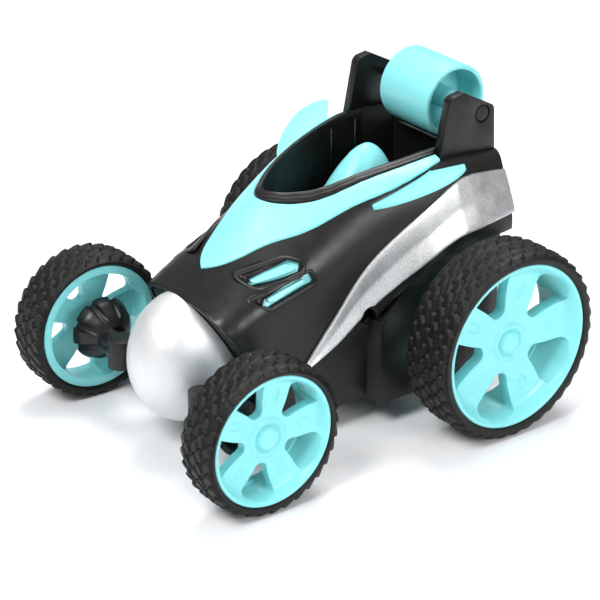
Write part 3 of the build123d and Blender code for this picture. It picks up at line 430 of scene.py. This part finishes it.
def rim(name, wheel, side, body):
    """A five-spoke rim: rolled lip, dished bowl, deep-sided windows, dimpled spokes, ringed hub."""
    lip, out, inn = wheel["lip"], wheel["outer"], wheel["inner"]
    k = lip / FRONT["lip"]
    face = out - 4.2 * k
    rear = face - 3.6 * k
    profile = [
        (inn, lip - 3.2), (inn, lip - 0.2), (inn + 1.2, lip - 0.2), (inn + 1.2, lip - 1.45),
        (out - 1.15, lip - 1.45), (out - 1.15, lip), (out - 0.25, lip + 0.05), (out, lip - 0.25),
        (out, lip - 1.0), (out - 0.3, lip - 1.35), (out - 1.6 * k, lip - 2.0 * k),
        (out - 3.0 * k, lip - 2.9 * k), (out - 3.9 * k, lip - 4.1 * k), (face, lip - 5.6 * k),
        (face, 8.4), (face + 0.15, 7.4), (face + 0.75, 6.7), (face + 0.95, 6.1), (face + 0.75, 5.5),
        (face + 0.05, 5.0), (face + 0.05, 4.6), (face + 1.2, 4.2), (face + 1.9, 3.5),
        (face + 2.3, 2.1), (face + 2.4, 0.0), (inn + 2.0, 0.0), (inn + 2.0, 3.9),
        (rear, 5.4), (rear, lip - 4.6), (rear - 1.0, lip - 3.5),
    ]
    verts, faces = lathe(profile, wheel["y"], wheel["z"], side, 180)
    obj = piece("visual_" + name, verts, faces, TEAL, body, [name])
    tools = []
    for i in range(SPOKES):
        window_at = FIRST_WINDOW + 360 / SPOKES * i
        tools.append(window_cutter(wheel, side, radians(window_at)))
        tools.append(dimple_cutter(wheel, side, face, radians(window_at + 180 / SPOKES)))
    cut(obj, tools)
    soften(obj, 0.28 * k, 38)
    return obj


# ---- silver flank panel ----
PANEL_UPPER = [(-17.5, 32.5), (-6, 47.5), (7, 64.5), (24, 78), (40, 87.5), (50, 90.3), (67.7, 88)]
PANEL_LOWER = [(-16, 31.4), (-5, 37.3), (5, 45.4), (21, 58.0), (38, 69.2), (50, 71.6), (67.7, 72.8)]
PANEL_NOTCH = dict(y=9.0, z=45.2, r=4.3)


def flank_panel(name, side, body):
    """The silver sweep: its upper part stands on the flank, its lower part flares out past a crease."""
    surface = surface_of(name)
    columns, rows = 90, 18
    verts = []
    for i in range(columns + 1):
        s = i / columns
        top, low = curve(PANEL_UPPER, s), curve(PANEL_LOWER, s)
        spots = []
        for j in range(rows + 1):
            t = 0.03 + 0.94 * j / rows
            y, z = top[0] * (1 - t) + low[0] * t, top[1] * (1 - t) + low[1] * t
            spots.append((y, z, probe(surface, side, min(max(y, -16.5), 67.5), z)))
        known = [j for j, spot in enumerate(spots) if spot[2] is not None]
        # the lower edge flares more toward the rear, then tucks in again at the end
        flare = 0.6 + 3.0 * s - 2.9 * max(0.0, (s - 0.72) / 0.28) ** 1.5
        ring = []
        for j, (y, z, x) in enumerate(spots):
            if x is None:
                x = spots[min(known, key=lambda q: abs(q - j))][2] if known else 30.0
            t = j / rows
            lift = 0.35 + flare * max(0.0, (t - 0.52) / 0.48) ** 1.25 - 0.25 * (abs(2 * t - 1) ** 8)
            ring.append((side * (x + lift), y, z))
        first, last = ring[0], ring[-1]
        ring.append((last[0] - side * (flare + 0.5), last[1], last[2] + 0.2))
        ring.append((first[0] - side * 0.8, first[1], first[2]))
        verts += ring
    faces = ring_faces(0, columns + 1, rows + 3, side, False)
    obj = piece("visual_" + name, verts, faces, SILVER, body, [name])
    r = PANEL_NOTCH["r"]
    circle = [(r * cos(2 * pi * i / 40), r * sin(2 * pi * i / 40)) for i in range(40)]
    notch = cutter("notch", *prism_x(circle, side * 20, side * 50, PANEL_NOTCH["y"], PANEL_NOTCH["z"]))
    cut(obj, [notch])
    soften(obj, 0.25, 40)
    return obj


# ---- frames of the flank slots: outline, and a black strip along its upper edge that is painted shade ----
VENTS = [
    ([(-36.5, 65.6), (-20, 70.5), (-15.5, 69), (-17.5, 66), (-33, 63)],
     [((-37, 65.7), (-34.7, 63.9)), ((-34.5, 66.6), (-33.4, 65.3)),
      ((-28, 68.4), (-27.3, 67.6)), ((-20, 70.8), (-19.9, 70.2))]),
    ([(-37.5, 59.5), (-14, 66.5), (-13, 62.5), (-31, 57.0)],
     [((-38, 59.5), (-33.8, 57.7)), ((-34, 61.0), (-32.2, 59.8)),
      ((-25, 63.6), (-24.2, 62.9)), ((-14, 66.9), (-13.9, 66.2))]),
]
# the frame's section: how far outside the slot's edge, and how far above the skin
VENT_FRAME = [(0.10, -0.6), (0.10, 0.12), (0.30, 0.38), (0.70, 0.32), (1.10, 0.05), (1.30, -0.6)]


def flank_terms(y, z):
    """The terms of a gently curved surface over the slots."""
    u, v = (y + 25) / 10, (z - 63) / 10
    return np.array((1.0, u, v, u * u, u * v, v * v))


def vent_frames_and_shade_strips(side, hand):
    """Raised frames round the two slanted slots on each flank, with a black strip inside each that paints
    the shade under the slot's upper wall.
    """
    surface = surface_of("upper_shell")
    verts, faces = [], []
    for outline, shade_strip in VENTS:
        path = rounded(outline, 1.4, 6)
        spots, rows, levels = [], [], []
        for i, (y, z) in enumerate(path):
            run = (Vector(path[(i + 1) % len(path)]) - Vector(path[i - 1])).normalized()
            for off, lift in VENT_FRAME:
                spot = y - run.y * off, z + run.x * off
                spots.append((spot, lift))
                level = probe(surface, side, *spot)
                # a ray that goes through a slot can meet the far wall, which isn't the flank
                if level is not None and level > 20:
                    rows.append(flank_terms(*spot))
                    levels.append(level)
        fit = np.linalg.lstsq(np.array(rows), np.array(levels), rcond=None)[0]

        def on_skin(spot, lift):
            return side * (float(fit @ flank_terms(*spot)) + lift), *spot

        faces += ring_faces(len(verts), len(path), len(VENT_FRAME), side, True)
        verts += [on_skin(*spot) for spot in spots]
        # painted shade: a black prism sunk into the slot along its upper edge stands for the shadow that
        # the slot's top wall casts on the teal insert
        faces += ring_faces(len(verts), len(shade_strip), 4, side, False)
        for top, low in shade_strip:
            verts += [on_skin(top, -0.35), on_skin(low, -0.35), on_skin(low, -1.5), on_skin(top, -1.5)]
    return piece("vent_frames_and_shade_strips_" + hand, verts, faces, BLACK, "car")


# ---- cockpit ----
def helmet():
    """The driver's pointed bubble: a leaning shell with a visor step."""
    rings, steps, tall = 26, 72, 26.6
    middle_y, base_z = 27, 68.55
    verts, faces = [], []
    for i in range(rings + 1):
        rho = 1 - i / rings
        height = tall * (1 - rho ** 1.75) ** 0.86
        for j in range(steps):
            turn = 2 * pi * j / steps
            front = max(0.0, min(1.0, (-sin(turn) - 0.25) * 4))
            visor = 0.5 * front if 0.35 < rho < 0.78 else 0.0
            wide, long = rho * (13.6 - visor), rho * (19.2 - visor * 1.4)
            lean = 4.2 * (height / tall) ** 1.3
            verts.append((wide * cos(turn), middle_y + long * sin(turn) + lean, base_z + height))
    for i in range(rings):
        for j in range(steps):
            k = (j + 1) % steps
            faces.append((i * steps + j, i * steps + k, (i + 1) * steps + k, (i + 1) * steps + j))
    faces.append(tuple(range(steps))[::-1])
    obj = piece("visual_cockpit_dome", verts, faces, TEAL, "car", ["cockpit_dome"])
    weld(obj, 1e-5)
    return obj


def tub_ribs():
    """Slim upright ribs on the tub's walls, which break the dark tray into panels."""
    edge = [(0, -13.9), (6, -10.6), (11, -5.5), (15, 1.5), (18.0, 11), (20.5, 21), (22.2, 32), (23.0, 44)]
    tops = [84.6, 84.6, 85.6, 87.4, 90.0, 92.0, 93.4, 94.6]
    floor_z, middle_y = 68.7, 24
    box = [(3, 2, 1, 0), (4, 5, 6, 7), (0, 1, 5, 4), (1, 2, 6, 5), (2, 3, 7, 6), (3, 0, 4, 7)]
    verts, faces = [], []
    for (x, y), top in zip(edge, tops):
        for side in ((1, -1) if x else (1,)):
            inward = Vector((-side * x, middle_y - y)).normalized()
            across = Vector((-inward.y, inward.x))
            base = Vector((side * x, y)) + inward * 0.7
            faces += [tuple(len(verts) + q for q in face) for face in box]
            for z, deep in ((floor_z, 0.35), (top, 0.15)):
                for u, v in ((-0.35, -0.9), (0.35, -0.9), (0.2, deep), (-0.2, deep)):
                    spot = base + across * u + inward * v
                    verts.append((spot.x, spot.y, z))
    return piece("tub_ribs", verts, faces, BLACK, "car")


for side, hand in ((1, "left"), (-1, "right")):
    tyre("front_tyre_" + hand, FRONT, side, "front_wheel_" + hand, 5, 32)
    tyre("rear_tyre_" + hand, REAR, side, "rear_wheel_" + hand, 6, 38)
    rim("front_rim_" + hand, FRONT, side, "front_wheel_" + hand)
    rim("rear_rim_" + hand, REAR, side, "rear_wheel_" + hand)
    flank_panel("side_panel_" + hand, side, "car")
helmet()
tub_ribs()
for side, hand in ((1, "left"), (-1, "right")):
    vent_frames_and_shade_strips(side, hand)

# ---- camera ----
lens = bpy.data.cameras.new("camera")
lens.sensor_width = 36.0
lens.lens = 136.9
camera = bpy.data.objects.new("camera", lens)
scene.collection.objects.link(camera)
right = Vector((0.60044, 0.79962, 0.00907))
up = Vector((-0.34877, 0.25165, 0.90279))
back = Vector((0.71961, -0.54524, 0.42998))
turn = Matrix((right, up, back)).transposed().to_4x4()
camera.matrix_world = Matrix.Translation((0.59533, -0.44929, 0.39649)) @ turn
scene.camera = camera

# ---- floor and light ----
FLOOR = shader("pale_floor", (0.86, 0.87, 0.88), 0.55, mottle=0.01, mottle_scale=3, grain=0.02,
               grain_scale=400, spec=0.25)
ground = bpy.data.meshes.new("floor")
ground.from_pydata([(-4, -4, 0), (4, -4, 0), (4, 4, 0), (-4, 4, 0)], [], [(0, 1, 2, 3)])
ground.materials.append(FLOOR)
floor_obj = bpy.data.objects.new("floor", ground)
scene.collection.objects.link(floor_obj)


def area(name, place, target, size, power):
    """A round soft light, in metres and watts, that faces its target."""
    data = bpy.data.lights.new(name, "AREA")
    data.shape = "DISK"
    data.size = size
    data.energy = power
    lamp = bpy.data.objects.new(name, data)
    lamp.location = place
    lamp.rotation_mode = "QUATERNION"
    lamp.rotation_quaternion = (Vector(target) - Vector(place)).to_track_quat("-Z", "Y")
    scene.collection.objects.link(lamp)


area("key", (0.20, -0.75, 0.95), (0, 0, 0.05), 0.45, 9.5)
area("top", (-0.25, 0.25, 1.1), (0, 0, 0.05), 0.6, 8.5)
area("side", (1.05, 0.10, 0.55), (0, 0, 0.05), 0.5, 6.5)

# the surroundings are brighter overhead than near the floor
world = bpy.data.worlds.new("studio")
world.use_nodes = True
sky = world.node_tree
shine = sky.nodes["Background"]
shine.inputs["Color"].default_value = (0.95, 0.97, 1.0, 1.0)
way = sky.nodes.new("ShaderNodeTexCoord")
split = sky.nodes.new("ShaderNodeSeparateXYZ")
fall = sky.nodes.new("ShaderNodeMapRange")
for socket, value in (("From Min", -0.05), ("From Max", 0.75), ("To Min", 0.20), ("To Max", 0.62)):
    fall.inputs[socket].default_value = value
sky.links.new(way.outputs["Generated"], split.inputs["Vector"])
sky.links.new(split.outputs["Z"], fall.inputs["Value"])
sky.links.new(fall.outputs["Result"], shine.inputs["Strength"])
scene.world = world
scene.view_settings.view_transform = "Standard"
